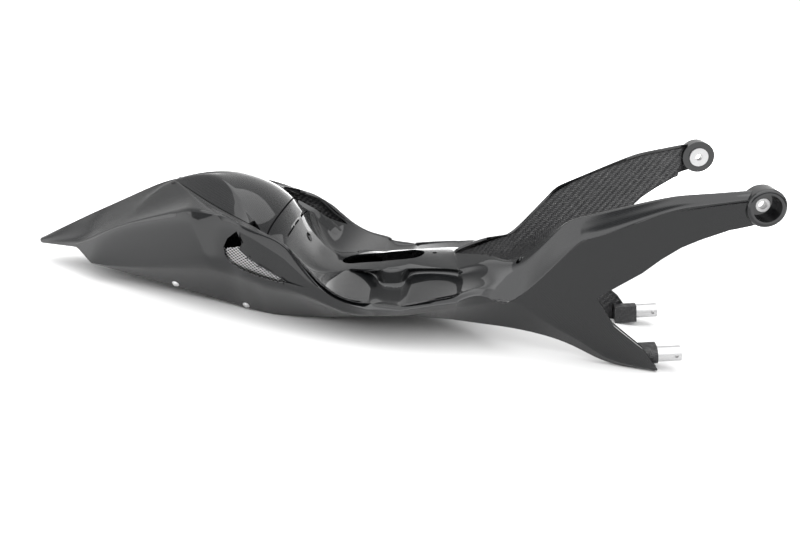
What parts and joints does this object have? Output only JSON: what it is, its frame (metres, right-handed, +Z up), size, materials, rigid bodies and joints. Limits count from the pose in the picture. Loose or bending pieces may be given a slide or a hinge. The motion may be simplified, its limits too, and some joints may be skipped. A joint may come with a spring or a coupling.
{
  "type": "motorcycle tail fairing",
  "caption": "Self-supporting carbon tail fairing: pointed tail with side scoops, seat recess with slotted deck, and forked arms ending in bolt bosses and tube spigots.",
  "frame": {"origin": "centre of the bounding box, at the ground plane under the shell", "axes": "+X forward along the motorcycle, +Y to its left, +Z up"},
  "size_m": [0.85, 0.292, 0.243],
  "materials": {
    "gloss_carbon": "fine carbon twill under gloss clear coat",
    "raw_carbon": "rough bag side of the carbon laminate",
    "machined_aluminium": "plain machined",
    "grille_mesh": "bright diamond mesh",
    "rivet_metal": "bright"
  },
  "bodies": {
    "root": {"upper_shell": "gloss_carbon", "hump_cover": "gloss_carbon", "undertray": "gloss_carbon", "inner_frame": "raw_carbon", "left_socket": "raw_carbon", "right_socket": "raw_carbon", "left_spigot": "machined_aluminium", "right_spigot": "machined_aluminium", "left_bush": "machined_aluminium", "right_bush": "machined_aluminium", "left_vent_grille": "grille_mesh", "right_vent_grille": "grille_mesh", "left_front_rivet": "rivet_metal", "left_rear_rivet": "rivet_metal", "right_front_rivet": "rivet_metal", "right_rear_rivet": "rivet_metal"}
  },
  "joints": []
}
